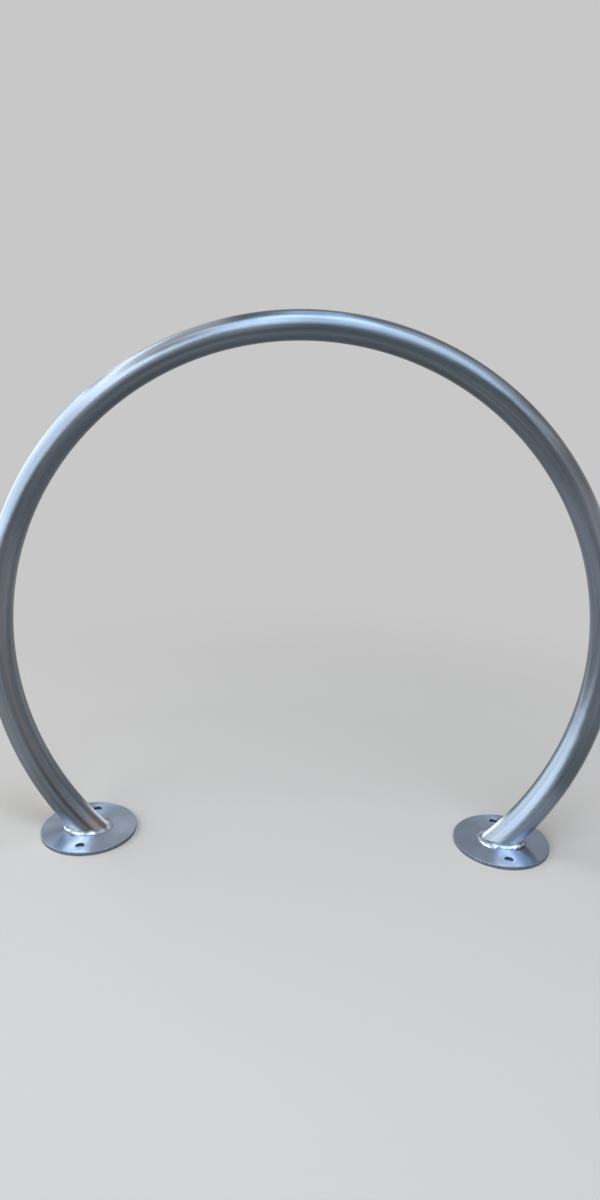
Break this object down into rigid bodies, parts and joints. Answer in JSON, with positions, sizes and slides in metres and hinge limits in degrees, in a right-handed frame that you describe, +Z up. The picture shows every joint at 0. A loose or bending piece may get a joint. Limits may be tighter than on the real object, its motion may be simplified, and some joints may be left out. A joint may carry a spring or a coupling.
{
  "type": "hoop bike rack",
  "caption": "Round tube hoop on flat round base plates, which bolts to the ground and holds a bike by its frame or wheel.",
  "frame": {"origin": "on the ground, midway between the two base plates", "axes": "+X from the left foot to the right foot in the plane of the hoop, +Y square to the hoop, +Z up"},
  "size_m": [1.0482, 0.16, 0.8837],
  "materials": {
    "tube_stainless": "satin, polished along the tube",
    "plate_stainless": "turned face, fine rings about the centre",
    "weld_metal": "bright rippled weld bead"
  },
  "bodies": {
    "root": {"hoop_tube": "tube_stainless", "base_plate_left": "plate_stainless", "base_plate_right": "plate_stainless", "weld_left": "weld_metal", "weld_right": "weld_metal"}
  },
  "joints": []
}
